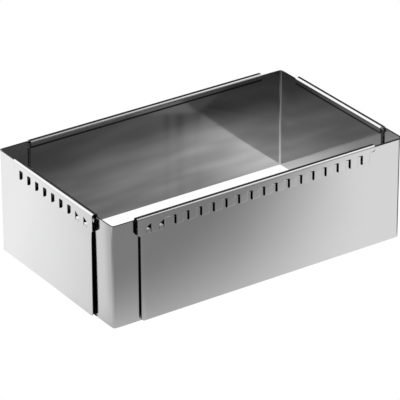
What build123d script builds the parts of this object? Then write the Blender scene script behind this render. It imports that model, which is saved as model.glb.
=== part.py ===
from build123d import *
import math
import os

# Adjustable cake frame: four bent sheets of stainless steel with no bottom.
# Two outer corners carry rails along their top edges. Two inner corners slide in those rails.
# X runs along the frame, Y across it, Z up. The origin is the centre of the closed frame's foot.

# Whole frame, closed, over the flat outsides of the outer sheets
closed_length = 249.0
closed_width = 148.6
sheet_height = 80.0
sheet = 0.6
outer_bend_radius = 2.6
inner_bend_radius = 2.4
foot_radius = 2.5

# Fits between the outer and the inner sheets
sheet_gap = 1.2
rail_top_gap = 1.0
flange_gap = 0.4
end_overshoot = 0.5

# Rail that is folded over the inner sheet, and the raised band along its outside
rail_rise = 1.2
rail_bend_radius = 1.7
flange_drop = 5.5
band_rise = 1.3
band_drop = 5.3
band_corner_radius = 2.0
press_angle = 21.0
long_rail_setback = 24.5
short_rail_setback = 20.8
long_rail_tail = 11.3
short_rail_tail = 9.3
rail_nose = 10.5

# Row of louvers under the band, which ends in two barbs at the rail's nose
louver_pitch = 10.7
long_louver_count = 16
short_louver_count = 7
barb_count = 2
louver_length = 6.6
louver_shoulder = 0.6
louver_height = 7.5
louver_rise = 1.4
shoulder_rise = 1.2
louver_round = 1.2
louver_round_radius = 1.6
louver_corner_radius = 2.6
mouth_width = 0.9
slit_width = 0.2

# Pad that carries the barbs, and the nose that steps out over the panel's end
pad_margin = 0.6
pad_overlap = 0.5
nose_drop = 0.8
nose_reach = 4.1
nose_radius = 2.0
step_radius = 1.4

# Barbs: a window with a slanted top, and a pointed flap that is hinged at its foot and leans inwards
barb_length = 4.4
barb_lead = 0.6
barb_tall_side = 7.0
barb_short_side = 4.6
barb_side_cut = 0.35
flap_foot = 2.2
flap_foot_angle = 4.0
flap_tip = 3.0
flap_tip_angle = 46.0
flap_point = 0.8

# Lip along the free end of each inner leg, which clicks into the louvers
lip_length = 1.3
lip_rise = 0.8

# Overrun of every cutting body past what it cuts
overrun = 0.8

inner_offset = sheet + sheet_gap
rail_top = sheet_height + rail_rise
rail_width = band_rise + inner_offset + sheet + flange_gap + sheet
inner_height = rail_top - sheet - rail_top_gap
band_low = rail_top - band_drop
band_join = rail_top - rail_bend_radius
press_run = band_rise * math.tan(math.radians(press_angle))
press_inset = sheet * (1 - math.sin(math.radians(press_angle))) / math.cos(math.radians(press_angle))
shoulder_inset = sheet * math.tan(math.atan2(shoulder_rise, louver_shoulder) / 2)
louver_top = band_low - slit_width
louver_low = louver_top - louver_height
pad_low = louver_low - pad_overlap
nose_low = pad_low - nose_drop
back = sheet + overrun


def block(s_low, s_high, u_low, u_high, z_low, z_high):
    """Box between limits along the leg (s), outwards (u) and up (z)."""
    body = Box(s_high - s_low, u_high - u_low, z_high - z_low, align=(Align.MIN, Align.MIN, Align.MIN))
    return Pos(s_low, u_low, z_low) * body


def through(face, s, z):
    """Body from a face drawn in s and z from the point given, reaching through the whole wall."""
    plane = Plane(origin=(s, 0, z), x_dir=(1, 0, 0), z_dir=(0, -1, 0))
    return extrude(plane * face, amount=rail_width, both=True)


def along(face, s_low, z_low, length):
    """Body from a face drawn in u and z, running along the leg from the point given."""
    return extrude(Plane(origin=(s_low, 0, z_low), x_dir=(0, 1, 0), z_dir=(1, 0, 0)) * face, amount=length)


def rounded_corners(face, corners):
    """The face with each of the corners named rounded by its own radius."""
    for spot, radius in corners:
        vertex = face.vertices().sort_by_distance((spot[0], spot[1], 0))[0]
        face = fillet(vertex, radius)
    return face


def raised_form(s_low, s_high, z_low, z_high, corner_radius, depth):
    """Rounded rectangle with sloping sides, from the depth given behind the wall's face out to the band's."""
    outline = RectangleRounded(s_high - s_low, z_high - z_low, corner_radius)
    centre = ((s_low + s_high) / 2, 0, (z_low + z_high) / 2)
    placed = Plane(origin=centre, x_dir=(1, 0, 0), z_dir=(0, 1, 0)) * outline
    raised = extrude(placed, amount=band_rise, dir=(0, 1, 0), taper=press_angle)
    return raised + extrude(placed, amount=depth, dir=(0, -1, 0))


def pressing(s_low, s_high, z_low, z_high):
    """Outside of a pressing and the hollow behind it, one sheet thickness apart all over."""
    outside = raised_form(s_low, s_high, z_low, z_high, band_corner_radius, sheet)
    hollow = raised_form(
        s_low + press_inset,
        s_high - press_inset,
        z_low + press_inset,
        z_high - press_inset,
        band_corner_radius - press_inset,
        overrun,
    )
    return outside, Pos(0, -sheet, 0) * hollow


def louver_form(mouth, depth, inset):
    """Tongue that ends in an open mouth, from the depth given behind the wall's face, less the inset
    given along its tail and its foot."""
    tail = mouth - louver_length + inset
    low = louver_low + inset
    ramp = make_face(
        Polyline(
            (tail, 0),
            (tail + louver_shoulder, shoulder_rise),
            (mouth, louver_rise),
            (mouth, -depth),
            (tail, -depth),
            close=True,
        )
    )
    section = make_face(
        [
            Line((-depth, 0), (0, 0)),
            RadiusArc((0, 0), (louver_rise, louver_round), -louver_round_radius),
            Line((louver_rise, louver_round), (louver_rise, louver_height)),
            Line((louver_rise, louver_height), (-depth, louver_height)),
            Line((-depth, louver_height), (-depth, 0)),
        ]
    )
    outline = make_face(
        Polyline((tail, low), (mouth, low), (mouth, louver_top), (tail, louver_top), close=True)
    )
    ramp_body = Pos(0, 0, low) * extrude(ramp, amount=louver_height)
    outline_body = through(rounded_corners(outline, [((tail, low), louver_corner_radius - inset)]), 0, 0)
    return ramp_body & along(section, tail, low, louver_length) & outline_body


def louver(mouth):
    """Outside of a tongue and the hollow behind it."""
    return louver_form(mouth, sheet, 0), Pos(0, -sheet, 0) * louver_form(mouth, overrun, shoulder_inset)


def louver_cuts(mouth):
    """Open mouth in front of the tongue, and the slit above it."""
    mouth_end = mouth + mouth_width
    slit_end = mouth - louver_length + louver_shoulder + shoulder_inset
    return [
        block(mouth, mouth_end, -back, overrun, louver_low + sheet, louver_top),
        block(slit_end, mouth_end, -back, louver_rise + overrun, louver_top, band_low),
    ]


def barb_window(mouth):
    """Window of a barb, with its taller side towards the corner."""
    outline = Polyline(
        (0, 0),
        (barb_length, 0),
        (barb_length, barb_short_side),
        (0, barb_tall_side),
        close=True,
    )
    return through(make_face(outline), mouth - barb_lead, louver_low)


def barb_flap(mouth):
    """Flap bent inwards about its foot, with a pointed tip that leans more, which stops the inner lip."""
    foot_lean = math.radians(flap_foot_angle)
    tip_lean = math.radians(flap_tip_angle)
    foot_skin = Vector(-math.cos(foot_lean), -math.sin(foot_lean))
    tip_skin = Vector(-math.cos(tip_lean), -math.sin(tip_lean))
    foot = Vector(band_rise, 0)
    knee = foot + Vector(-math.sin(foot_lean), math.cos(foot_lean)) * flap_foot
    tip = knee + Vector(-math.sin(tip_lean), math.cos(tip_lean)) * flap_tip
    knee_back = knee + (foot_skin + tip_skin) * (sheet / (1 + foot_skin.dot(tip_skin)))
    tip_back = tip + tip_skin * sheet
    foot_back = foot - Vector(sheet, 0)
    section = make_face(Polyline(foot, knee, tip, tip_back, knee_back, foot_back, close=True))
    start = mouth - barb_lead + barb_side_cut
    width = barb_length - 2 * barb_side_cut
    outline = make_face(
        Polyline(
            (0, 0),
            (width, 0),
            (width, knee.Y),
            ((width + flap_point) / 2, tip.Y),
            ((width - flap_point) / 2, tip.Y),
            (0, knee.Y),
            close=True,
        )
    )
    return along(section, start, louver_low, width) & through(outline, start, louver_low)


def rail_fold(s_low, s_high):
    """Top of the rail: up from the band, over the inner sheet and down into the flange."""
    inner_face = band_rise - rail_width
    flange_low = rail_top - flange_drop
    skin = FilletPolyline(
        (band_rise, band_join),
        (band_rise, rail_top),
        (inner_face, rail_top),
        (inner_face, flange_low),
        radius=rail_bend_radius,
    )
    lining = FilletPolyline(
        (band_rise - sheet, band_join),
        (band_rise - sheet, rail_top - sheet),
        (inner_face + sheet, rail_top - sheet),
        (inner_face + sheet, flange_low),
        radius=rail_bend_radius - sheet,
    )
    band_edge = Line((band_rise - sheet, band_join), (band_rise, band_join))
    flange_edge = Line((inner_face, flange_low), (inner_face + sheet, flange_low))
    section = make_face(skin.edges() + flange_edge.edges() + lining.edges() + band_edge.edges())
    return along(section, s_low, 0, s_high - s_low)


def outer_leg_outline(rail_start, free_end):
    """Side view of an outer leg: round foot, stepped-out nose and the rail's start."""
    panel_end = free_end - nose_reach
    outline = Polyline(
        (outer_bend_radius, 0),
        (panel_end, 0),
        (panel_end, nose_low),
        (free_end, nose_low),
        (free_end, band_join),
        (rail_start, band_join),
        (rail_start, sheet_height),
        (outer_bend_radius, sheet_height),
        close=True,
    )
    corners = (
        ((panel_end, 0), foot_radius),
        ((panel_end, nose_low), step_radius),
        ((free_end, nose_low), nose_radius),
    )
    return through(rounded_corners(make_face(outline), corners), 0, 0)


def outer_leg(rail_setback, rail_tail, louvers):
    """Straight leg of an outer corner, with s from the corner, u outwards and z up."""
    first_mouth = rail_setback + rail_tail
    places = [first_mouth + place * louver_pitch for place in range(louvers + barb_count)]
    mouths = places[:louvers]
    barb_mouths = places[louvers:]
    free_end = places[-1] + rail_nose
    past_end = free_end + rail_nose
    past_top = rail_top + band_drop
    rail_start = rail_setback + press_run
    pad_start = barb_mouths[0] - barb_lead - press_run - pad_margin

    forms = [
        pressing(rail_setback, past_end, band_low, past_top),
        pressing(pad_start, past_end, pad_low, past_top),
    ]
    forms += [louver(mouth) for mouth in mouths]
    leg = block(outer_bend_radius, free_end, -sheet, 0, 0, sheet_height)
    leg = leg + [outside for outside, hollow in forms]
    leg = leg - [hollow for outside, hollow in forms]
    leg = leg & outer_leg_outline(rail_start, free_end)
    for mouth in mouths:
        leg = leg - louver_cuts(mouth)
    leg = leg - [barb_window(mouth) for mouth in barb_mouths]
    leg = leg + [barb_flap(mouth) for mouth in barb_mouths]
    return leg + rail_fold(rail_start, free_end)


def bend(radius, height):
    """Quarter bend at a corner, between a leg along +X and a leg along -Y."""
    ring = Cylinder(radius, height) - Cylinder(radius - sheet, height)
    quarter = block(-radius, 0, 0, radius, -height / 2, height / 2)
    return Pos(radius, -radius, height / 2) * (ring & quarter)


def turned_down(leg):
    """A leg along +X becomes the matching leg along -Y, with its outer face towards -X."""
    return mirror(leg, about=Plane(origin=(0, 0, 0), z_dir=(1, 1, 0)))


def outer_corner():
    """Outer corner piece with its corner at the origin."""
    long_leg = outer_leg(long_rail_setback, long_rail_tail, long_louver_count)
    short_leg = turned_down(outer_leg(short_rail_setback, short_rail_tail, short_louver_count))
    return long_leg + short_leg + bend(outer_bend_radius, sheet_height)


def inner_leg(reach):
    """Smooth leg of an inner corner, whose free end turns outwards into a lip."""
    lip_start = reach - lip_length
    section = make_face(
        Polyline(
            (inner_bend_radius, 0),
            (lip_start, 0),
            (reach, lip_rise),
            (reach, lip_rise - sheet),
            (lip_start, -sheet),
            (inner_bend_radius, -sheet),
            close=True,
        )
    )
    outline = Polyline(
        (inner_bend_radius, 0),
        (reach, 0),
        (reach, inner_height),
        (inner_bend_radius, inner_height),
        close=True,
    )
    corners = (((reach, 0), foot_radius), ((reach, inner_height), foot_radius))
    side = rounded_corners(make_face(outline), corners)
    return extrude(section, amount=inner_height) & through(side, 0, 0)


def inner_corner():
    """Inner corner piece with its corner at the origin, its long leg along -X."""
    long_reach = closed_length - inner_offset - long_rail_setback + end_overshoot
    short_reach = closed_width - inner_offset - short_rail_setback + end_overshoot
    corner = inner_leg(long_reach) + turned_down(inner_leg(short_reach)) + bend(inner_bend_radius, inner_height)
    return mirror(corner, about=Plane.YZ)


half_length = closed_length / 2
half_width = closed_width / 2
back_left = Pos(-half_length, half_width, 0) * outer_corner()
back_right = Pos(half_length - inner_offset, half_width - inner_offset, 0) * inner_corner()
half_turn = Rot(0, 0, 180)

nodes = {
    "back_left_outer_corner": back_left,
    "front_right_outer_corner": half_turn * back_left,
    "back_right_inner_corner": back_right,
    "front_left_inner_corner": half_turn * back_right,
}

length_travel = long_louver_count * louver_pitch
width_travel = short_louver_count * louver_pitch

os.makedirs("parts", exist_ok=True)
for name, shape in nodes.items():
    export_step(shape, "parts/" + name + ".step")
    box = shape.bounding_box()
    print(name, "solids", len(shape.solids()), "volume", round(shape.volume, 1), "low", box.min, "high", box.max)
print("travel along the length", round(length_travel, 2), "across the width", round(width_travel, 2))
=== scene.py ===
"""Looks of an adjustable cake frame: four bent sheets of stainless steel in a plain white studio.

Laid out as an add-on: the sizes and colours are properties, each pair of like sheets and the stage
has its own operator, and main() calls them in order. Lengths are in metres.
"""

import math

import bpy
import numpy as np
from bpy.props import BoolProperty, FloatProperty, FloatVectorProperty, IntProperty, PointerProperty
from mathutils import Matrix, Vector


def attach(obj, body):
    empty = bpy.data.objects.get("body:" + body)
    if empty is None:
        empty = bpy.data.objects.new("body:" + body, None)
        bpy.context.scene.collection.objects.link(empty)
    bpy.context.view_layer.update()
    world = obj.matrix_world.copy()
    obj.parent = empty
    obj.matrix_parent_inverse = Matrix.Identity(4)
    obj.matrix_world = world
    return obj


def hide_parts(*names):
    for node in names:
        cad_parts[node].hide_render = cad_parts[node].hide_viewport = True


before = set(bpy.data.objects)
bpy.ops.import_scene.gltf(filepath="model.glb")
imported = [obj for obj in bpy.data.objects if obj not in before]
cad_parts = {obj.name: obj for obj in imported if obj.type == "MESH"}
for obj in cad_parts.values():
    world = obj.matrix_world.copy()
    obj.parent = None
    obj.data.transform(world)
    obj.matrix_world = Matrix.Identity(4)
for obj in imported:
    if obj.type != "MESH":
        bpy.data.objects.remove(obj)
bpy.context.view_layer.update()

bl_info = {
    "name": "Adjustable cake frame",
    "version": (1, 0, 0),
    "blender": (4, 5, 0),
    "location": "3D View > Sidebar > Cake frame",
    "description": "Makes the bent steel sheets of an adjustable cake frame and their studio",
    "category": "Object",
}

MM = 0.001
MICRON = 0.000001

# Filler stations closer than this to another station are left out
LEAST_STEP = 0.09 * MM
# How far from a rounded corner the rows still bend with it
CORNER_FADE = 9 * MM
STEP_FADE = 7 * MM
# How high a mouth begins above its tongue's foot
MOUTH_SILL = 0.3 * MM
# How far from the free end an outer sheet's flare begins
FLARE_LENGTH = 75 * MM
# How far from its bend an inner leg eases inwards
EASE_LENGTH = 12 * MM
# Lean of a flap's upright part and of its tip, and the share of its width left at the point
FLAP_LEAN = math.radians(4)
TIP_LEAN = math.radians(46)
POINT_SHARE = 0.2
TIP_STEPS = 5

# Camera, fitted to the photograph
CAMERA_PLACE = (-1.1077, -1.637, 1.0387)
CAMERA_YAW = math.radians(34.059)
CAMERA_PITCH = math.radians(26.929)
CAMERA_LENS = 275.03

# Soft box
LAMP_PLACE = (0.75, -0.55, 1.1)
LAMP_AIM = (0, 0, 0.04)
FLOOR_HALF = 3.0
FLOOR_DROP = 0.05 * MM

# Lines on the floor where its mirrored shading changes, in metres from the frame's centre
FRONT_Y = -0.0725
LEFT_X = -0.1227
BACK_Y = 0.0705
RIGHT_CORNER = (0.1245, -0.0743)
# Brightness of the floor beside the right corner, and share of it left far behind and to the right
CORNER_SHADE = 0.12
FAR_SHARE = 0.06


def size(name, default, description):
    """A length that the user may change."""
    return FloatProperty(
        name=name, description=description, default=default, min=0, unit="LENGTH", precision=5)


def share(name, default, description):
    """A plain number that the user may change."""
    return FloatProperty(name=name, description=description, default=default, min=0, precision=3)


def tint(name, default, description):
    """A colour that the user may change."""
    return FloatVectorProperty(
        name=name, description=description, default=default, size=3, min=0, max=1, subtype="COLOR")


class CAKEFRAME_SheetSizes(bpy.types.PropertyGroup):
    """Sizes of the plain sheets and of their fit in each other."""

    thickness: size("Sheet", 0.6 * MM, "Thickness of the steel")
    closed_length: size("Closed length", 249.0 * MM, "Length of the closed frame over its outer sheets")
    closed_width: size("Closed width", 148.6 * MM, "Width of the closed frame over its outer sheets")
    outer_height: size("Outer height", 80.0 * MM, "Height of the outer sheets at their corners")
    inner_height: size("Inner height", 79.6 * MM, "Height of the inner sheets")
    outer_bend: size("Outer bend", 2.6 * MM, "Outside radius of the outer sheets' corners")
    inner_bend: size("Inner bend", 2.4 * MM, "Outside radius of the inner sheets' corners")
    gap: size("Gap", 1.2 * MM, "Gap between the outer and the inner sheets")
    foot_radius: size("Foot radius", 2.5 * MM, "Radius of the sheets' free corners")
    overshoot: size("Overshoot", 0.5 * MM, "How far the inner legs pass the rail's end when closed")
    lip_length: size("Lip length", 1.3 * MM, "Length of the lip at an inner leg's free end")
    lip_rise: size("Lip rise", 0.8 * MM, "How far that lip turns outwards")
    wave: size("Wave", 0.05 * MM, "Height of the slow waves that rolling leaves in a sheet")
    flare: size("Flare", 0.55 * MM, "How far the short outer legs stand out at the foot of their free end")
    ease: size("Ease", 0.2 * MM, "How far the inner legs curve inwards before their bend")
    edge_break: size("Edge break", 0.09 * MM, "Width of the broken edge along every cut")


class CAKEFRAME_RailSizes(bpy.types.PropertyGroup):
    """Sizes of the folded rail, the raised band and the pad under it."""

    rise: size("Rail rise", 1.2 * MM, "How far the rail stands above the corner's edge")
    width: size("Rail width", 4.7 * MM, "Width of the rail over its two faces")
    bend: size("Rail bend", 1.7 * MM, "Outside radius of the rail's two bends")
    flange_drop: size("Flange drop", 5.5 * MM, "Height of the rail's inner flange")
    band_rise: size("Band rise", 1.3 * MM, "How far the band stands out from the wall")
    band_drop: size("Band drop", 5.3 * MM, "Height of the band from its foot to the rail's top")
    press_run: size("Press run", 0.5 * MM, "Width of the slope round a pressing")
    corner_radius: size("Press corner", 1.4 * MM, "Corner radius of the band and the pad")
    long_setback: size("Long setback", 24.5 * MM, "From the corner to the rail's end on a long leg")
    short_setback: size("Short setback", 20.8 * MM, "From the corner to the rail's end on a short leg")
    long_tail: size("Long tail", 11.3 * MM, "From the rail's end to the first louver's mouth on a long leg")
    short_tail: size("Short tail", 9.3 * MM, "From the rail's end to the first louver's mouth on a short leg")
    nose: size("Rail nose", 10.5 * MM, "From the last barb to the leg's free end")
    pad_margin: size("Pad margin", 0.6 * MM, "From the pad's edge to its first barb")
    pad_overlap: size("Pad overlap", 0.5 * MM, "How far the pad reaches below the louvers")
    nose_drop: size("Nose drop", 0.8 * MM, "How far the nose reaches below the pad")
    nose_reach: size("Nose reach", 3.0 * MM, "How far the nose stands out past the wall's end")
    nose_radius: size("Nose radius", 2.0 * MM, "Radius of the nose's lower corner")
    step_radius: size("Step radius", 1.4 * MM, "Radius between the wall's end and the nose")


class CAKEFRAME_LouverSizes(bpy.types.PropertyGroup):
    """Sizes of the louvers and of the barbs that end their row."""

    pitch: size("Pitch", 10.7 * MM, "Spacing of the louvers")
    long_count: IntProperty(name="Long count", description="Louvers on a long leg", default=16, min=1)
    short_count: IntProperty(name="Short count", description="Louvers on a short leg", default=7, min=1)
    barb_count: IntProperty(name="Barbs", description="Barbs after the louvers", default=2, min=1)
    length: size("Louver length", 6.6 * MM, "Length of a tongue from its tail to its mouth")
    height: size("Louver height", 7.5 * MM, "Height of a tongue")
    rise: size("Louver rise", 1.4 * MM, "How far a tongue stands out at its mouth")
    shoulder: size("Louver shoulder", 1.25 * MM, "How far it stands out where its tail has curved up")
    curl: size("Louver curl", 0.8 * MM, "Height of the curve along a tongue's foot")
    corner_radius: size("Louver corner", 2.6 * MM, "Radius between a tongue's tail and its foot")
    mouth: size("Mouth", 0.9 * MM, "Width of the open mouth")
    barb_length: size("Barb length", 4.4 * MM, "Length of a barb's window")
    barb_lead: size("Barb lead", 0.6 * MM, "How far a window begins before its place in the row")
    barb_tall: size("Barb tall side", 7.0 * MM, "Height of a window on its side towards the corner")
    barb_short: size("Barb short side", 4.6 * MM, "Height of a window on its other side")
    flap_foot: size("Flap foot", 2.2 * MM, "Length of a flap's upright part")
    flap_tip: size("Flap tip", 3.0 * MM, "Length of its pointed tip, which leans over inwards")
    flap_cut: size("Flap cut", 0.35 * MM, "Gap at each side of a flap")


class CAKEFRAME_SteelLooks(bpy.types.PropertyGroup):
    """Colours and finish of the steel."""

    outside: tint("Outside", (0.82, 0.82, 0.822), "Polished outside of the sheets")
    # The inside colour is also painted on the face of the rail's flange, as painted shade.
    inside: tint("Inside", (0.47, 0.47, 0.475), "Plain rolled inside of the outer sheets")
    inner_outside: tint("Inner sheet outside", (0.785, 0.785, 0.787), "Outside of the inner sheets")
    inner_inside: tint("Inner sheet inside", (0.45, 0.45, 0.455), "Inside of the inner sheets")
    # The cut edge colour is also painted in a strip just under the top edges and at the flange's foot, as
    # painted shade.
    cut: tint("Cut edge", (0.08, 0.08, 0.08), "Sheared edges")
    roughness: share("Roughness", 0.12, "Roughness of the polished faces")
    dull_roughness: share("Dull roughness", 0.08, "Roughness of the plain rolled faces")
    cut_roughness: share("Cut roughness", 0.22, "Roughness of the sheared edges")
    grain: share("Grain", 0.05, "How much the rolling lines change the colour")


class CAKEFRAME_StageLooks(bpy.types.PropertyGroup):
    """Colours and light of the studio."""

    paper: tint("Paper", (1.0, 1.0, 1.0), "Floor and backdrop")
    pool: share("Pool", 0.223, "Brightness of the paper in front of the frame, as the steel mirrors it")
    sky_low: share("Low sky", 0.04, "Brightness of the studio near the horizon, as the steel mirrors it")
    sky_front: share("Front sky", 0.1, "Brightness of the studio behind the camera, as the steel mirrors it")
    sky_high: share("High sky", 1.15, "Brightness of the studio overhead")
    lamp_power: FloatProperty(
        name="Lamp", description="Power of the soft box", default=1.0, min=0, unit="POWER")
    camera_roll: FloatProperty(
        name="Roll", description="Tilt of the camera", default=math.radians(-0.303), unit="ROTATION")


class CAKEFRAME_Settings(bpy.types.PropertyGroup):
    """All settings of the cake frame."""

    sheets: PointerProperty(type=CAKEFRAME_SheetSizes)
    rail: PointerProperty(type=CAKEFRAME_RailSizes)
    louvers: PointerProperty(type=CAKEFRAME_LouverSizes)
    steel: PointerProperty(type=CAKEFRAME_SteelLooks)
    stage: PointerProperty(type=CAKEFRAME_StageLooks)


# Stations and surfaces


def spread(low, high, step):
    """Even stations from low to high, no further apart than the step."""
    count = max(1, math.ceil((high - low) / step - MICRON))
    return np.linspace(low, high, count + 1)


def merged(fixed, filler, least):
    """Stations in order: every fixed one, and the fillers that keep at least the given distance from them."""
    fixed = np.unique(np.round(np.hstack(fixed), 7))
    filler = np.unique(np.round(np.hstack(filler), 7))
    filler = filler[(filler > fixed[0]) & (filler < fixed[-1])]
    filler = filler[np.abs(filler[:, None] - fixed[None, :]).min(axis=1) > least]
    return np.sort(np.hstack([fixed, filler[np.hstack([True, np.diff(filler) > least])]]))


def nearest(stations, value):
    """Index of the station nearest to the value."""
    return int(np.argmin(np.abs(stations - value)))


def eased(t):
    """An S curve from 0 to 1 as t goes from 0 to 1: three times t squared less twice t cubed."""
    t = np.clip(t, 0, 1)
    return t * t * (3 - 2 * t)


def rounded(t):
    """A quarter circle from 0 to 1 as t goes from 0 to 1, steep at first."""
    return np.sqrt(1 - (1 - np.clip(t, 0, 1)) ** 2)


def round_drop(t, radius):
    """How far a quarter circle of that radius falls away, t past the point where it begins."""
    t = np.clip(t, 0, radius)
    return radius - np.sqrt(radius * radius - t * t)


def depth_in_corner(along, up, radius):
    """How far a point lies inside two edges that meet in a rounded corner: the nearer edge's
    distance, or inside the corner's square the radius less the distance to its centre."""
    gone = np.hypot(np.clip(radius - along, 0, None), np.clip(radius - up, 0, None))
    return np.where((along < radius) & (up < radius), radius - gone, np.minimum(along, up))


def slow_wave(a, z, height, amount):
    """Slow waves left by rolling: a product of one sine along the leg and one up it, which fades
    out towards the bend and the top."""
    fade = eased(a / (30 * MM)) * eased((height - z) / (14 * MM))
    along = np.sin(a / (17 * MM) + 0.7) + 0.6 * np.sin(a / (7.3 * MM) + 2.1)
    up = np.sin(z / (19 * MM) + 0.4)
    return amount * fade * along * up


class Leg:
    """One straight leg of a sheet: stations along it, rows up it, and for every crossing how far
    the sheet's face stands out and how high it lies, and the same two for its other face. keep
    says which of the quads between the crossings exist."""

    def __init__(self, stations, face, other, keep):
        self.stations = stations
        self.face = face
        self.other = other
        self.keep = keep
        self.flaps = []


def rail_profile(sheets, rail, radius):
    """One face of the folded rail, each row as how far out and how high: a quarter circle over the
    band, the flat top, a quarter circle over the inner sheet and the flange. The rows next to the
    bends keep the flats flat."""
    support = 0.12 * MM
    turn = np.radians(np.arange(10, 91, 10))
    near = rail.band_rise - rail.bend
    far = rail.band_rise - rail.width + rail.bend
    centre = sheets.outer_height + rail.rise - rail.bend
    drop = rail.flange_drop - rail.bend
    flange = np.array([support, drop / 2, drop - 1.5 * MM, drop])
    out = np.hstack([near + radius * np.cos(turn), near - support, far + support, far,
                     far - radius * np.sin(turn), np.full(flange.size, far - radius)])
    up = np.hstack([centre + radius * np.sin(turn), np.full(3, centre + radius),
                    centre + radius * np.cos(turn), centre - flange])
    return out, up


def outer_rows(sheets, rail, louvers):
    """Rows up an outer sheet's wall, the profiles of the folded rail's two faces after them, and the
    levels of the wall's forms."""
    top = sheets.outer_height + rail.rise
    band_low = top - rail.band_drop
    louver_low = band_low - louvers.height
    pad_low = louver_low - rail.pad_overlap
    nose_low = pad_low - rail.nose_drop
    window_low = pad_low + rail.press_run
    window_top = window_low + (louvers.barb_tall + louvers.barb_short) / 2
    fixed = [
        0, nose_low - rail.step_radius, nose_low, pad_low, louver_low, louver_low + MOUTH_SILL,
        window_low, window_top,
        band_low, band_low + rail.press_run, top - rail.bend - 0.35 * MM, top - rail.bend,
    ]
    filler = [
        np.array([0.5, 1.2, 2.2, 3.5, 5.5, 8.5]) * MM,
        spread(12 * MM, nose_low - 8 * MM, 6.5 * MM),
        nose_low - np.array([5.5, 3.5, 2.3, 0.9, 0.45, 0.2]) * MM,
        pad_low + np.array([0.15, 0.3, 0.45]) * MM,
        louver_low + np.array([0.15, 0.45, 0.6, 0.75, 0.9, 1.1, 1.4, 1.8, 2.2, 2.8, 3.6, 4.5, 5.2, 6.4]) * MM,
        band_low + np.array([0.1, 0.2, 0.3, 0.4, 0.65, 1.1, 2.4]) * MM,
    ]
    wall = merged(fixed, filler, LEAST_STEP)
    fold = rail_profile(sheets, rail, rail.bend)
    other_fold = rail_profile(sheets, rail, rail.bend - sheets.thickness)
    levels = (band_low, louver_low, pad_low, nose_low, window_low, window_top)
    return wall, fold, other_fold, levels


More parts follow.
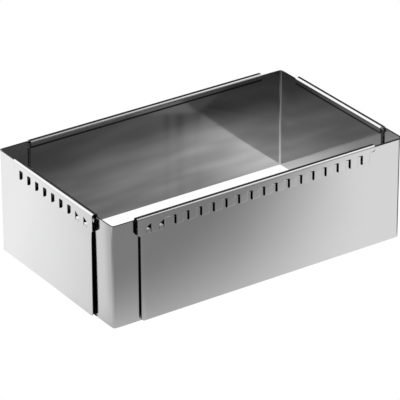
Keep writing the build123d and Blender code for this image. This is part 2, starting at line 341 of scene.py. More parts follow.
def outer_leg(sheets, rail, louvers, setback, tail, count, flare):
    """A leg of an outer sheet. The wall's height out of its plane is the greater of the pressed
    band and pad, each an S curve over its slope. A tongue is a quarter circle round its tail and foot,
    times a height that grows slightly towards its mouth. Mouths and windows are quads left out."""
    wall, fold, other_fold, levels = outer_rows(sheets, rail, louvers)
    band_low, louver_low, pad_low, nose_low, window_low, window_top = levels
    places = setback + tail + louvers.pitch * np.arange(count + louvers.barb_count)
    mouths, barbs = places[:count], places[count:]
    tails = mouths - louvers.length
    windows = barbs - louvers.barb_lead
    pad_start = windows[0] - rail.press_run - rail.pad_margin
    free_end = places[-1] + rail.nose
    panel_end = free_end - rail.nose_reach
    rail_start = setback + rail.press_run
    fixed = [
        sheets.outer_bend, setback, rail_start, tails, mouths, mouths + louvers.mouth,
        pad_start, pad_start + rail.press_run,
        windows, windows + louvers.flap_cut, windows + louvers.barb_length - louvers.flap_cut,
        windows + louvers.barb_length, panel_end, free_end,
    ]
    ramp_steps = np.array([0.15, 0.3, 0.45, 0.6, 0.75, 0.9, 1.4, 1.8, 2.2, 3.2, 4.4, 5.6, 6.2]) * MM
    barb_steps = np.array([1.2, 2.2, 3.2, 6.0, 8.0]) * MM
    slope_steps = np.array([0.1, 0.2, 0.3, 0.4, 0.7]) * MM
    end_steps = np.array([0.15, 0.3, 0.6, 1.0, 1.5, 2.0, 2.7, 3.4]) * MM
    filler = [
        spread(sheets.outer_bend, setback, 4 * MM), sheets.outer_bend + end_steps,
        setback + slope_steps, setback - end_steps[:3], pad_start + slope_steps, pad_start - end_steps[:3],
        (tails[:, None] + ramp_steps).ravel(), mouths + 0.55 * MM, (windows[:, None] + barb_steps).ravel(),
        panel_end - end_steps, panel_end + end_steps, free_end - end_steps,
    ]
    stations = merged(fixed, filler, LEAST_STEP)
    a, z = np.meshgrid(stations, wall, indexing="ij")

    # The outline's rounded corners and the windows' slanted tops bend the rows
    foot = round_drop(a - (panel_end - sheets.foot_radius), sheets.foot_radius) * (a <= panel_end + MICRON)
    z = z + foot * np.clip(1 - z / CORNER_FADE, 0, 1)
    step = rail.step_radius
    step_drop = round_drop(step - np.clip(a - panel_end, 0, step), step)
    step_drop = step_drop * eased((a - panel_end + 5 * MM) / (5 * MM))
    near_step = np.clip(1 - np.abs(z - nose_low) / STEP_FADE, 0, 1)
    nose = round_drop(a - (free_end - rail.nose_radius), rail.nose_radius)
    above_nose = np.clip(1 - (z - nose_low) / STEP_FADE, 0, 1) * (z > nose_low - MICRON)
    z = z - step_drop * near_step + nose * above_nose
    for window in windows:
        across = (a - window) / louvers.barb_length
        beside = np.clip(1 - np.maximum(-across, across - 1) * louvers.barb_length / (2 * MM), 0, 1)
        slant = (0.5 - np.clip(across, 0, 1)) * (louvers.barb_tall - louvers.barb_short) * beside
        lift = np.interp(z, [window_low, window_top, band_low], [0, 1, 0])
        z = z + slant * lift

    band = depth_in_corner(a - setback, z - band_low, rail.corner_radius)
    pad = depth_in_corner(a - pad_start, z - pad_low, rail.corner_radius)
    out = rail.band_rise * np.maximum(eased(band / rail.press_run), eased(pad / rail.press_run))
    for mouth, low_end in zip(mouths, tails):
        inside = (a > low_end - MICRON) & (a < mouth + MICRON) & (z > louver_low - MICRON)
        inside &= z < band_low + rail.press_run + MICRON
        height = louvers.shoulder + (louvers.rise - louvers.shoulder) * (a - low_end) / louvers.length
        height = height + (rail.band_rise - height) * eased((z - band_low) / rail.press_run + 1)
        depth = depth_in_corner(2 * (a - low_end), z - louver_low, louvers.corner_radius)
        out = np.where(inside, np.maximum(height * rounded(depth / louvers.curl), out), out)
    lower_wall = eased((nose_low - z) / CORNER_FADE) * (1 - 0.6 * z / nose_low)
    out = out + flare * eased(1 - (panel_end - a) / FLARE_LENGTH) * lower_wall * (a <= panel_end + MICRON)
    out = out + slow_wave(a - sheets.outer_bend, z, nose_low, sheets.wave)

    # The rail's rows follow the wall's and exist only past the rail's start. Before it the wall ends lower
    plain = (stations < rail_start - MICRON)[:, None]
    low_share = (sheets.outer_height - band_low) / (wall[-1] - band_low)
    z = np.where(plain & (z > band_low), band_low + (z - band_low) * low_share, z)
    rows = fold[0].size
    many = (stations.size, rows)
    face = np.hstack([out, np.broadcast_to(fold[0], many)]), np.hstack([z, np.broadcast_to(fold[1], many)])
    other = (np.hstack([out - sheets.thickness, np.broadcast_to(other_fold[0], many)]),
             np.hstack([z, np.broadcast_to(other_fold[1], many)]))
    keep = np.ones((stations.size - 1, wall.size + rows - 1), bool)
    keep[: nearest(stations, rail_start), wall.size:] = False
    keep[nearest(stations, panel_end):, : nearest(wall, nose_low)] = False
    mouth_rows = slice(nearest(wall, louver_low + MOUTH_SILL), nearest(wall, band_low))
    for mouth in mouths:
        keep[nearest(stations, mouth):nearest(stations, mouth + louvers.mouth), mouth_rows] = False
    window_rows = slice(nearest(wall, window_low), nearest(wall, window_top))
    leg = Leg(stations, face, other, keep)
    for window in windows:
        first, last = nearest(stations, window), nearest(stations, window + louvers.barb_length)
        keep[first:last, window_rows] = False
        leg.flaps.append((first + 1, last - 1, nearest(wall, window_low)))
    # From this row on, the rail's flange face is painted as shade: the inside colour, and the cut edge colour
    # on its lowest quad row as a painted shadow line under the flange.
    leg.inside_row = wall.size + rows - 4
    # The wall's top quad row: where there is no rail, it is painted with the cut edge colour as a dark line
    # of painted shade along the top edge.
    leg.rim_row = wall.size - 2
    return leg


def flap_profile(sheets, rail, louvers, foot_height):
    """Side views of a flap's two faces above its foot and the share of its width left at each step.
    An upright part leans in slightly. Its pointed tip leans over inwards."""
    foot = np.hstack([spread(0, louvers.flap_foot, 0.7 * MM)[1:], np.full(TIP_STEPS, louvers.flap_foot)])
    tip = np.hstack([np.zeros(foot.size - TIP_STEPS), np.linspace(0, louvers.flap_tip, TIP_STEPS + 1)[1:]])
    out = rail.band_rise - foot * math.sin(FLAP_LEAN) - tip * math.sin(TIP_LEAN)
    up = foot_height + foot * math.cos(FLAP_LEAN) + tip * math.cos(TIP_LEAN)
    lean = np.where(tip > 0, TIP_LEAN, FLAP_LEAN)
    other_out = out - sheets.thickness * np.cos(lean)
    other_up = up - sheets.thickness * np.sin(lean)
    width_share = 1 - (1 - POINT_SHARE) * tip / louvers.flap_tip
    return (out, up), (other_out, other_up), width_share


def inner_leg(sheets, reach):
    """A leg of an inner sheet: plain, with an S-shaped lip at its free end and rounded corners. By its
    bend it eases inwards, by the cube of the distance left."""
    lip_start = reach - sheets.lip_length
    radius = sheets.foot_radius
    end_steps = np.array([0.1, 0.25, 0.45, 0.7, 1.0, 1.3, 1.7, 2.1, 2.5, 3.2]) * MM
    stations = merged([sheets.inner_bend, lip_start, reach],
                      [spread(sheets.inner_bend, reach, 5 * MM), reach - end_steps,
                       sheets.inner_bend + end_steps, sheets.inner_bend + 4 * end_steps], LEAST_STEP)
    edge = np.array([0.35, 0.8, 1.4, 2.2, 3.4, 5.5, 8.5]) * MM
    height = sheets.inner_height
    middle = spread(12 * MM, height - 12 * MM, 6 * MM)
    rows = merged([0, height], [edge, height - edge, middle], LEAST_STEP)
    a, z = np.meshgrid(stations, rows, indexing="ij")
    fall = round_drop(a - (reach - radius), radius)
    out = sheets.lip_rise * eased((a - lip_start) / (2 * sheets.lip_length)) * 2
    wave = slow_wave(a - sheets.inner_bend, z, height, -sheets.wave) * eased((reach - a) / (20 * MM))
    out = np.minimum(out, sheets.lip_rise) + wave
    out = out - sheets.ease * np.clip(1 - (a - sheets.inner_bend) / EASE_LENGTH, 0, 1) ** 3
    low = np.clip(1 - z / CORNER_FADE, 0, 1)
    high = np.clip(1 - (height - z) / CORNER_FADE, 0, 1)
    z = z + fall * low - fall * high
    keep = np.ones((stations.size - 1, rows.size - 1), bool)
    return Leg(stations, (out, z), (out - sheets.thickness, z), keep)


def bent_sheet(corner, long_way, short_way, bend, long_leg, short_leg, top, rim_rows, flap):
    """Vertices, quads and materials of an L-shaped sheet with its thickness. The path runs in along
    the short leg, round a quarter circle and out along the long leg. Every vertex is the path's
    point plus how far the face stands out along the path's outward normal, at its height. The
    sheet's other face is made in the same way, and quads along every open edge join the two."""
    corner, along, back = (np.array(v, float) for v in (corner, long_way, short_way))
    short = slice(None, None, -1)
    turn = np.radians(np.arange(7.5, 90, 7.5))[:, None]
    centre = corner + bend * (along + back)
    normals = np.vstack([
        np.tile(-along, (short_leg.stations.size, 1)),
        -along * np.cos(turn) - back * np.sin(turn),
        np.tile(-back, (long_leg.stations.size, 1)),
    ])
    first_long = short_leg.stations.size + turn.size
    path = np.vstack([
        corner + short_leg.stations[short, None] * back,
        centre + bend * normals[short_leg.stations.size:first_long],
        corner + long_leg.stations[:, None] * along,
    ])
    keep = np.vstack([short_leg.keep[short], np.tile(long_leg.keep[0], (turn.size + 1, 1)), long_leg.keep])
    columns, rows = path.shape[0], keep.shape[1] + 1
    ids = np.arange(columns * rows).reshape(columns, rows)
    quads = [np.stack([ids[:-1, :-1], ids[1:, :-1], ids[1:, 1:], ids[:-1, 1:]], axis=-1)[keep]]
    slots = np.zeros((columns - 1, rows - 1), int)
    # Painted shade on the rail's flange: from this row on, its face takes the inside colour, and its lowest
    # quad row takes the cut edge colour as a painted shadow line.
    if top:
        slots[:, top:] = 1
        slots[:, -1] = 2
    # Painted shade: where there is no rail, and on the inner sheets, the quad row just under the top edge
    # takes the cut edge colour as a dark line.
    plain = ~keep[:, -1] | (top == 0)
    slots[plain, rim_rows] = 2
    slots = [slots[keep]]

    sides = []
    for short_side, long_side in ((short_leg.face, long_leg.face), (short_leg.other, long_leg.other)):
        bend_out = np.tile(long_side[0][:1], (turn.size, 1))
        bend_up = np.tile(long_side[1][:1], (turn.size, 1))
        out = np.vstack([short_side[0][short], bend_out, long_side[0]])
        up = np.vstack([short_side[1][short], bend_up, long_side[1]])
        points = np.dstack([path[:, None, :] + normals[:, None, :] * out[:, :, None], up[:, :, None]])
        sides.append([points.reshape(-1, 3)])
    total = columns * rows
    for leg, way, outward, first_column, step in (
        (long_leg, along, -back, first_long, 1),
        (short_leg, back, -along, short_leg.stations.size - 1, -1),
    ):
        for first, last, row in leg.flaps:
            wide = np.arange(first, last + 1)[::step]
            middle = (leg.stations[first] + leg.stations[last]) / 2
            for side, (flap_out, flap_up) in zip(sides, flap[:2]):
                places = middle + (leg.stations[wide, None] - middle) * flap[2]
                points = corner + places[:, :, None] * way + outward * flap_out[:, None]
                points = np.dstack([points, np.tile(flap_up, (wide.size, 1))])
                side.append(points.reshape(-1, 3))
            foot = ids[first_column + step * wide, row]
            steps = total + np.arange(wide.size * flap[2].size).reshape(wide.size, -1)
            total += steps.size
            steps = np.hstack([foot[:, None], steps])
            extra = np.stack([steps[:-1, :-1], steps[1:, :-1], steps[1:, 1:], steps[:-1, 1:]], axis=-1)
            quads.append(extra.reshape(-1, 4))
            slots.append(np.zeros(len(quads[-1]), int))
    quads, slots = np.vstack(quads), np.hstack(slots)

    edges = np.stack([quads, np.roll(quads, -1, axis=1)], axis=-1).reshape(-1, 2)
    codes, reverse = edges[:, 0] * total + edges[:, 1], edges[:, 1] * total + edges[:, 0]
    rim = edges[~np.isin(codes, reverse)]
    faces = np.vstack([quads, quads[:, ::-1] + total, np.column_stack([rim[:, ::-1], rim + total])])
    slots = np.hstack([slots, np.ones(len(quads), int), np.full(len(rim), 2)])
    if along[0] * back[1] - along[1] * back[0] < 0:
        faces = faces[:, ::-1]
    vertices = np.vstack([np.vstack(side) for side in sides])
    used, faces = np.unique(faces, return_inverse=True)
    return vertices[used], faces.reshape(-1, 4), slots


def steel_piece(name, surface, finishes, sheets):
    """An object from a surface, with its edges broken."""
    vertices, faces, materials = surface
    mesh = bpy.data.meshes.new(name)
    mesh.from_pydata(vertices.tolist(), [], faces.tolist())
    for finish in finishes:
        mesh.materials.append(finish)
    mesh.polygons.foreach_set("material_index", materials.astype(np.int32))
    mesh.shade_smooth()
    mesh.update()
    piece = bpy.data.objects.new(name, mesh)
    bpy.context.scene.collection.objects.link(piece)
    edge = piece.modifiers.new("Broken edges", "BEVEL")
    edge.width = sheets.edge_break
    edge.segments = 2
    edge.limit_method = "ANGLE"
    edge.angle_limit = math.radians(62)
    edge.harden_normals = True
    return piece


# Materials


def link(tree, source, target):
    """Joins two sockets."""
    tree.links.new(source, target)


def node(tree, kind, **values):
    """A node with some of its properties set."""
    made = tree.nodes.new(kind)
    for name, value in values.items():
        setattr(made, name, value)
    return made


def math_node(tree, operation, first, second=None, third=None, clamp=False):
    """A Math node on numbers or sockets, and its result."""
    made = node(tree, "ShaderNodeMath", operation=operation, use_clamp=clamp)
    for socket, value in zip(made.inputs, (first, second, third)):
        if isinstance(value, bpy.types.NodeSocket):
            link(tree, value, socket)
        elif value is not None:
            socket.default_value = value
    return made.outputs[0]


def rolled_grain_group():
    """Node group for rolled steel: fine lines along the sheet, slow clouds and faint smears, as a
    tinted colour, a roughness and a height."""
    group = bpy.data.node_groups.new("Rolled grain", "ShaderNodeTree")
    face = group.interface
    face.new_socket("Colour", in_out="INPUT", socket_type="NodeSocketColor")
    face.new_socket("Roughness", in_out="INPUT", socket_type="NodeSocketFloat")
    face.new_socket("Grain", in_out="INPUT", socket_type="NodeSocketFloat")
    face.new_socket("Colour", in_out="OUTPUT", socket_type="NodeSocketColor")
    face.new_socket("Roughness", in_out="OUTPUT", socket_type="NodeSocketFloat")
    face.new_socket("Height", in_out="OUTPUT", socket_type="NodeSocketFloat")
    given = node(group, "NodeGroupInput")
    result = node(group, "NodeGroupOutput")
    place = node(group, "ShaderNodeTexCoord").outputs["Object"]

    def noise(stretch, scale, detail, roughness=0.5):
        turned = node(group, "ShaderNodeMapping")
        turned.inputs["Scale"].default_value = stretch
        link(group, place, turned.inputs["Vector"])
        made = node(group, "ShaderNodeTexNoise")
        made.inputs["Scale"].default_value = scale
        made.inputs["Detail"].default_value = detail
        made.inputs["Roughness"].default_value = roughness
        link(group, turned.outputs["Vector"], made.inputs["Vector"])
        return made.outputs["Fac"]

    lines = noise((0.012, 0.012, 1.0), 2600, 3, 0.6)
    streaks = noise((0.035, 0.035, 1.0), 420, 2)
    clouds = noise((1.0, 1.0, 1.3), 22, 2)
    smears = noise((1.0, 1.0, 0.4), 60, 3, 0.6)
    streaky = math_node(group, "MULTIPLY", streaks, 0.4)
    both = math_node(group, "ADD", math_node(group, "MULTIPLY", lines, 0.6), streaky)
    centred = math_node(group, "SUBTRACT", both, 0.5)
    slow = math_node(group, "MULTIPLY", math_node(group, "SUBTRACT", clouds, 0.5), 0.7)
    cloudy = math_node(group, "ADD", centred, slow)
    shade = math_node(group, "MULTIPLY_ADD", cloudy, given.outputs["Grain"], 1.0)
    tinted = node(group, "ShaderNodeVectorMath", operation="SCALE")
    link(group, given.outputs["Colour"], tinted.inputs[0])
    link(group, shade, tinted.inputs["Scale"])
    link(group, tinted.outputs[0], result.inputs["Colour"])
    dull = math_node(group, "MULTIPLY_ADD", math_node(group, "SUBTRACT", smears, 0.5), 0.5, 1.0)
    dull = math_node(group, "MULTIPLY_ADD", centred, 0.5, dull)
    dull = math_node(group, "MULTIPLY", given.outputs["Roughness"], dull, clamp=True)
    link(group, dull, result.inputs["Roughness"])
    link(group, both, result.inputs["Height"])
    return group


def steel_finish(name, group, colour, roughness, grain, bump):
    """A polished or plain rolled steel finish: metal whose colour, roughness and fine relief come
    from the grain group."""
    material = bpy.data.materials.new(name)
    material.use_nodes = True
    tree = material.node_tree
    shader = tree.nodes["Principled BSDF"]
    shader.inputs["Metallic"].default_value = 1.0
    rolled = node(tree, "ShaderNodeGroup", node_tree=group)
    rolled.inputs["Colour"].default_value = (*colour, 1)
    rolled.inputs["Roughness"].default_value = roughness
    rolled.inputs["Grain"].default_value = grain
    link(tree, rolled.outputs["Colour"], shader.inputs["Base Color"])
    link(tree, rolled.outputs["Roughness"], shader.inputs["Roughness"])
    relief = node(tree, "ShaderNodeBump")
    relief.inputs["Strength"].default_value = 1.0
    relief.inputs["Distance"].default_value = bump
    link(tree, rolled.outputs["Height"], relief.inputs["Height"])
    link(tree, relief.outputs["Normal"], shader.inputs["Normal"])
    material.diffuse_color = (*colour, 1)
    return material


def finish(name):
    """The steel finish of that name, made the first time it is asked for."""
    found = bpy.data.materials.get(name)
    if found:
        return found
    looks = bpy.context.scene.cake_frame.steel
    group = bpy.data.node_groups.get("Rolled grain") or rolled_grain_group()
    colour, roughness, bump = {
        "outer_sheet_outside": (looks.outside, looks.roughness, 0.25 * MICRON),
        # Also painted on the rail's flange as painted shade.
        "outer_sheet_inside_and_flange_shade": (looks.inside, looks.dull_roughness, 0.4 * MICRON),
        "inner_sheet_outside": (looks.inner_outside, looks.roughness, 0.25 * MICRON),
        "inner_sheet_inside": (looks.inner_inside, looks.dull_roughness, 0.4 * MICRON),
        # Also painted in strips under the top edges and at the flange's foot, as painted shade.
        "sheared_edge_and_painted_shade": (looks.cut, looks.cut_roughness, 2 * MICRON),
    }[name]
    return steel_finish(name, group, colour, roughness, looks.grain, bump)


# Operators


def make_sheet(name, body, replaced, surface, finishes):
    """Makes one sheet, hides the imported part that it stands for and ties it to its body."""
    settings = bpy.context.scene.cake_frame
    piece = steel_piece(name, surface, [finish(f) for f in finishes], settings.sheets)
    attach(piece, body)
    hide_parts(replaced)


class CAKEFRAME_OT_outer_corners(bpy.types.Operator):
    """Make the two outer corner sheets with their rails, louvers and barbs"""

    bl_idname = "cakeframe.outer_corners"
    bl_label = "Outer corners"

    def execute(self, context):
        settings = context.scene.cake_frame
        sheets, rail, louvers = settings.sheets, settings.rail, settings.louvers
        long_leg = outer_leg(sheets, rail, louvers, rail.long_setback, rail.long_tail, louvers.long_count, 0)
        short_leg = outer_leg(sheets, rail, louvers, rail.short_setback, rail.short_tail, louvers.short_count,
                              sheets.flare)
        window_low = outer_rows(sheets, rail, louvers)[3][4]
        flap = flap_profile(sheets, rail, louvers, window_low)
        x, y = sheets.closed_length / 2, sheets.closed_width / 2
        for name, body, replaced, corner, long_way, short_way in (
            ("back_left_outer_sheet", "back_left_outer", "back_left_outer_corner", (-x, y), (1, 0), (0, -1)),
            ("front_right_outer_sheet", "front_right_outer", "front_right_outer_corner", (x, -y), (-1, 0),
             (0, 1)),
        ):
            # The flange row says where the rail's flange is painted with shade.
            surface = bent_sheet(corner, long_way, short_way, sheets.outer_bend, long_leg, short_leg,
                                 long_leg.inside_row, long_leg.rim_row, flap)
            # The top edge row says where a dark line of painted shade goes along the plain top edge.
            make_sheet(name, body, replaced, surface,
                       ("outer_sheet_outside", "outer_sheet_inside_and_flange_shade", "sheared_edge_and_painted_shade"))
        return {"FINISHED"}


class CAKEFRAME_OT_inner_corners(bpy.types.Operator):
    """Make the two plain inner corner sheets"""

    bl_idname = "cakeframe.inner_corners"
    bl_label = "Inner corners"

    def execute(self, context):
        settings = context.scene.cake_frame
        sheets, rail = settings.sheets, settings.rail
        inset = sheets.thickness + sheets.gap
        long_leg = inner_leg(sheets, sheets.closed_length - inset - rail.long_setback + sheets.overshoot)
        short_leg = inner_leg(sheets, sheets.closed_width - inset - rail.short_setback + sheets.overshoot)
        x, y = sheets.closed_length / 2 - inset, sheets.closed_width / 2 - inset
        for name, body, replaced, corner, long_way, short_way in (
            ("back_right_inner_sheet", "back_right_inner", "back_right_inner_corner", (x, y), (-1, 0),
             (0, -1)),
            ("front_left_inner_sheet", "front_left_inner", "front_left_inner_corner", (-x, -y), (1, 0),
             (0, 1)),
        ):
            # Row -1, the top quad row, is painted with the cut edge colour as a dark line of painted shade
            # along the top edge.
            surface = bent_sheet(corner, long_way, short_way, sheets.inner_bend, long_leg, short_leg, 0, -1,
                                 None)
            make_sheet(name, body, replaced, surface,
                       ("inner_sheet_outside", "inner_sheet_inside", "sheared_edge_and_painted_shade"))
        return {"FINISHED"}


def smooth_range(tree, value, low, high, to_low, to_high):
    """A Map Range node with an S curve, and its result."""
    made = node(tree, "ShaderNodeMapRange", interpolation_type="SMOOTHSTEP")
    for name, number in (("From Min", low), ("From Max", high), ("To Min", to_low), ("To Max", to_high)):
        made.inputs[name].default_value = number
    link(tree, value, made.inputs["Value"])
    return made.outputs["Result"]


def mixed(tree, share_of_second, first, second):
    """A Mix node on two numbers or sockets, and its result."""
    made = node(tree, "ShaderNodeMix", data_type="FLOAT")
    for index, value in ((0, share_of_second), (2, first), (3, second)):
        if isinstance(value, bpy.types.NodeSocket):
            link(tree, value, made.inputs[index])
        else:
            made.inputs[index].default_value = value
    return made.outputs[0]


def product(tree, first, *others):
    """Numbers or sockets, multiplied in order."""
    for other in others:
        first = math_node(tree, "MULTIPLY", first, other)
    return first


def weighted(tree, start, *terms):
    """The start plus each value times its weight, added in order."""
    for value, weight in terms:
        start = math_node(tree, "MULTIPLY_ADD", value, weight, start)
    return start


def soft_band(tree, value, low, high, blur):
    """1 from low to high, and 0 outside, with an S curve inside each end."""
    return product(tree, smooth_range(tree, value, low, low + blur, 0.0, 1.0),
                   smooth_range(tree, value, high - blur, high, 1.0, 0.0))


def outer_shade(tree, pool, x, y):
    """Brightness of the floor round the frame, as the outer faces mirror it. In front it rises from
    the dim pool over a bent line, by an S curve. At the left it is a sloping plane between two
    levels. It is dark beside the right corner and in the narrow gap under the left wall, and dims
    far behind and far to the right. All of it was fitted to the photograph's tones."""
    bent = weighted(tree, 1.013, (product(tree, x, 14.6), x), (x, 2.99), (y, 5.68))
    front = smooth_range(tree, bent, 0.0, 1.0, pool, 0.802)
    front_place = weighted(tree, x, (math_node(tree, "SUBTRACT", y, FRONT_Y), 0.632))
    front = product(tree, front, smooth_range(tree, front_place, -0.0985, -0.0975, 1.1, 1.0))
    left = weighted(tree, 1.245, (x, 3.0), (y, 2.2))
    left = math_node(tree, "MINIMUM", math_node(tree, "MAXIMUM", left, 0.3), 1.0)
    left_place = weighted(tree, y, (math_node(tree, "SUBTRACT", x, LEFT_X), 1.58))
    left = product(tree, left, smooth_range(tree, left_place, -0.081, -0.0605, 0.72, 1.0))
    left = math_node(tree, "MAXIMUM", left, smooth_range(tree, x, -0.3, -0.22, 0.85, 0.0))
    side = smooth_range(tree, math_node(tree, "SUBTRACT", x, y), -0.14, -0.03, 0.0, 1.0)
    shade = mixed(tree, side, left, front)

    away = math_node(tree, "MAXIMUM", math_node(tree, "SUBTRACT", x, RIGHT_CORNER[0]), MICRON)
    slope = math_node(tree, "DIVIDE", math_node(tree, "SUBTRACT", y, RIGHT_CORNER[1]), away)
    shade = mixed(tree, soft_band(tree, slope, -1.1, 0.5, 0.4), shade, CORNER_SHADE)
    between = product(tree, soft_band(tree, x, -0.1247, -0.1221, 0.0003),
                      smooth_range(tree, y, -0.05, -0.049, 0.0, 1.0))
    shade = mixed(tree, between, shade, 0.0)
    behind = math_node(tree, "MAXIMUM", smooth_range(tree, y, 0.38, 0.5, 1.0, FAR_SHARE),
                       smooth_range(tree, x, -0.25, -0.1, 1.0, 0.0))
    return product(tree, shade, behind, smooth_range(tree, x, 0.4, 0.55, 1.0, FAR_SHARE))


def inner_shade(tree, place, x, y):
    """Brightness of the floor inside the frame, as the inner faces mirror it: it rises with the
    square of x and by an S curve along y, times slow clouds and three painted dark streaks of shade
    that fade towards the front. It dims at the left. Fitted to the photograph's tones."""
    shifted = math_node(tree, "MAXIMUM", math_node(tree, "ADD", x, 0.0256), 0.0)
    along = weighted(tree, 0.206, (product(tree, shifted, shifted), 28.5))
    shade = weighted(tree, 0.152, (along, smooth_range(tree, y, -0.0444, 0.0342, 0.0, 1.0)))
    stretched = node(tree, "ShaderNodeMapping")
    stretched.inputs["Scale"].default_value = (0.45, 1.7, 1.0)
    link(tree, place, stretched.inputs["Vector"])
    clouds = node(tree, "ShaderNodeTexNoise")
    clouds.inputs["Scale"].default_value = 30.0
    clouds.inputs["Detail"].default_value = 1.0
    link(tree, stretched.outputs["Vector"], clouds.inputs["Vector"])
    shade = product(tree, shade, smooth_range(tree, clouds.outputs["Fac"], 0.25, 0.75, 0.82, 1.18))
    upper = smooth_range(tree, y, -0.055, 0.0, 1.0, 0.15)
    wall_x = weighted(tree, x, (math_node(tree, "SUBTRACT", y, BACK_Y), 0.66))
    # Three dark streaks of painted shade, fading towards the front.
    for centre, width, depth in ((0.019, 0.005, 0.35), (0.031, 0.007, 0.5), (0.048, 0.005, 0.25)):
        away = math_node(tree, "ABSOLUTE", math_node(tree, "SUBTRACT", wall_x, centre))
        dark_streak = product(tree, smooth_range(tree, away, 0.0, width, depth, 0.0), upper)
        shade = product(tree, shade, math_node(tree, "SUBTRACT", 1.0, dark_streak))
    return product(tree, shade, smooth_range(tree, wall_x, -0.1, -0.02, 0.7, 1.0))


def paper_material(looks):
    """White studio paper. The camera sees it plain white. The steel mirrors it with its own soft
    shading, one for the floor inside the frame and one for the floor round it. The border between
    them lies 2 mm further out at two corners. At the right one the floor is never darker than 0.26."""
    material = bpy.data.materials.new("studio_paper")
    material.use_nodes = True
    tree = material.node_tree
    tree.nodes.clear()
    place = node(tree, "ShaderNodeTexCoord").outputs["Object"]
    split = node(tree, "ShaderNodeSeparateXYZ")
    link(tree, place, split.inputs[0])
    x, y = split.outputs["X"], split.outputs["Y"]
    outer = outer_shade(tree, looks.pool, x, y)
    inner = inner_shade(tree, place, x, y)
    outer_corner = smooth_range(tree, product(tree, x, y), -0.0055, -0.005, 0.002, 0.0)
    right_corner = product(tree, outer_corner, smooth_range(tree, x, 0.0, 0.05, 0.0, 130.0))
    inner = math_node(tree, "MAXIMUM", inner, right_corner)
    near = []
    for value, low, high in ((x, 0.1217, 0.1223), (y, 0.0715, 0.0721)):
        away = math_node(tree, "SUBTRACT", math_node(tree, "ABSOLUTE", value), outer_corner)
        near.append(smooth_range(tree, away, low, high, 1.0, 0.0))
    shade = mixed(tree, product(tree, *near), outer, inner)

    path = node(tree, "ShaderNodeLightPath")
    lit = node(tree, "ShaderNodeEmission")
    lit.inputs["Color"].default_value = (*looks.paper, 1)
    link(tree, mixed(tree, path.outputs["Is Camera Ray"], shade, 1.0), lit.inputs["Strength"])
    matt = node(tree, "ShaderNodeBsdfDiffuse")
    matt.inputs["Color"].default_value = (*looks.paper, 1)
    shown = math_node(tree, "MAXIMUM", path.outputs["Is Camera Ray"], path.outputs["Is Glossy Ray"])
    shown = math_node(tree, "MAXIMUM", shown, path.outputs["Is Transmission Ray"])
    choose = node(tree, "ShaderNodeMixShader")
    link(tree, shown, choose.inputs[0])
    link(tree, matt.outputs[0], choose.inputs[1])
    link(tree, lit.outputs[0], choose.inputs[2])
    out = node(tree, "ShaderNodeOutputMaterial")
    link(tree, choose.outputs[0], out.inputs["Surface"])
    return material


def studio_world(looks):
    """White for the camera. The steel mirrors a dim sky, less dim behind the camera, with a bright
    part overhead and one at the left. Both were fitted to the photograph's tones."""
    world = bpy.data.worlds.new("studio")
    world.use_nodes = True
    tree = world.node_tree
    tree.nodes.clear()
    split = node(tree, "ShaderNodeSeparateXYZ")
    link(tree, node(tree, "ShaderNodeTexCoord").outputs["Generated"], split.inputs[0])
    x, y, z = split.outputs["X"], split.outputs["Y"], split.outputs["Z"]
    reach = weighted(tree, y, (math_node(tree, "SUBTRACT", x, 0.5), -4.0))
    ahead = smooth_range(tree, y, -0.45, -0.15, 0.0, 1.0)
    high = product(tree, smooth_range(tree, reach, -0.1, 0.15, 1.0, 0.0), ahead,
                   smooth_range(tree, z, 0.5, 0.65, 0.0, 1.0), smooth_range(tree, x, 0.45, 0.54, 0.45, 1.15))
    left = product(tree, smooth_range(tree, z, -0.05, 0.1, 0.0, 1.0),
                   smooth_range(tree, x, 0.25, 0.45, 1.0, 0.0), ahead)
    front = smooth_range(tree, x, 0.48, 0.55, looks.sky_front, 0.5)
    low = mixed(tree, smooth_range(tree, y, -0.5, 0.2, 0.0, 1.0), front, looks.sky_low)
    sky = mixed(tree, math_node(tree, "MAXIMUM", high, left), low, looks.sky_high)
    path = node(tree, "ShaderNodeLightPath")
    back = node(tree, "ShaderNodeBackground")
    back.inputs["Color"].default_value = (*looks.paper, 1)
    link(tree, mixed(tree, path.outputs["Is Camera Ray"], sky, 1.0), back.inputs["Strength"])
    out = node(tree, "ShaderNodeOutputWorld")
    link(tree, back.outputs[0], out.inputs["Surface"])
    return world


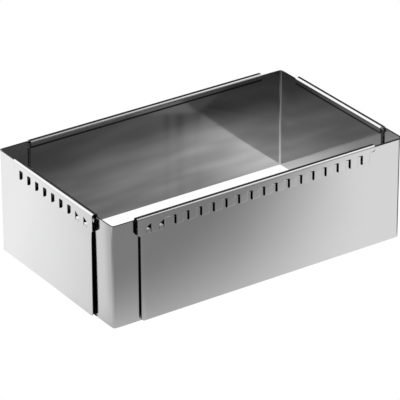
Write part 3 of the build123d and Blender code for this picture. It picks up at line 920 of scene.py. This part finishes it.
class CAKEFRAME_OT_stage(bpy.types.Operator):
    """Make the paper floor, the soft light and the camera"""

    bl_idname = "cakeframe.stage"
    bl_label = "Stage"

    def execute(self, context):
        scene = context.scene
        looks = scene.cake_frame.stage
        half = FLOOR_HALF
        mesh = bpy.data.meshes.new("floor")
        corners = [(-half, -half, 0), (half, -half, 0), (half, half, 0), (-half, half, 0)]
        mesh.from_pydata(corners, [], [(0, 1, 2, 3)])
        mesh.transform(Matrix.Translation((0, 0, -FLOOR_DROP)))
        mesh.materials.append(paper_material(looks))
        floor = bpy.data.objects.new("floor", mesh)
        scene.collection.objects.link(floor)
        scene.world = studio_world(looks)

        lamp = bpy.data.lights.new("soft_box", "AREA")
        lamp.shape = "SQUARE"
        lamp.size = 1.0
        lamp.energy = looks.lamp_power
        box = bpy.data.objects.new("soft_box", lamp)
        box.location = LAMP_PLACE
        aim = Vector(LAMP_AIM) - box.location
        box.rotation_euler = aim.to_track_quat("-Z", "Y").to_euler()
        box.visible_camera = False
        scene.collection.objects.link(box)

        # Place, direction and lens from the photograph's vanishing lines
        lens = bpy.data.cameras.new("camera")
        lens.sensor_width = 36.0
        lens.lens = CAMERA_LENS
        camera = bpy.data.objects.new("camera", lens)
        yaw, pitch = CAMERA_YAW, CAMERA_PITCH
        look = Vector((math.sin(yaw) * math.cos(pitch), math.cos(yaw) * math.cos(pitch), -math.sin(pitch)))
        right = Vector((math.cos(yaw), -math.sin(yaw), 0))
        above = right.cross(look)
        turn = Matrix((right, above, -look)).transposed().to_4x4()
        turn = turn @ Matrix.Rotation(looks.camera_roll, 4, "Z")
        camera.matrix_world = Matrix.Translation(CAMERA_PLACE) @ turn
        scene.collection.objects.link(camera)
        scene.camera = camera
        scene.view_settings.view_transform = "Standard"
        return {"FINISHED"}


class CAKEFRAME_PT_panel(bpy.types.Panel):
    """Settings and steps of the cake frame"""

    bl_idname = "CAKEFRAME_PT_panel"
    bl_label = "Cake frame"
    bl_space_type = "VIEW_3D"
    bl_region_type = "UI"
    bl_category = "Cake frame"

    def draw(self, context):
        settings = context.scene.cake_frame
        for group in (settings.sheets, settings.rail, settings.louvers, settings.steel, settings.stage):
            box = self.layout.box()
            for name in group.__annotations__:
                box.prop(group, name)
        for step in STEPS:
            self.layout.operator(step.bl_idname)


STEPS = (CAKEFRAME_OT_stage, CAKEFRAME_OT_outer_corners, CAKEFRAME_OT_inner_corners)
CLASSES = (
    CAKEFRAME_SheetSizes,
    CAKEFRAME_RailSizes,
    CAKEFRAME_LouverSizes,
    CAKEFRAME_SteelLooks,
    CAKEFRAME_StageLooks,
    CAKEFRAME_Settings,
    *STEPS,
    CAKEFRAME_PT_panel,
)


def register():
    """Registers the classes and hangs the settings on the scene."""
    for kind in CLASSES:
        bpy.utils.register_class(kind)
    bpy.types.Scene.cake_frame = PointerProperty(type=CAKEFRAME_Settings)


def unregister():
    """Takes the settings and the classes away again."""
    del bpy.types.Scene.cake_frame
    for kind in reversed(CLASSES):
        bpy.utils.unregister_class(kind)


def main():
    """Makes the stage and the four sheets."""
    register()
    bpy.ops.cakeframe.stage()
    bpy.ops.cakeframe.outer_corners()
    bpy.ops.cakeframe.inner_corners()


if __name__ == "__main__":
    main()
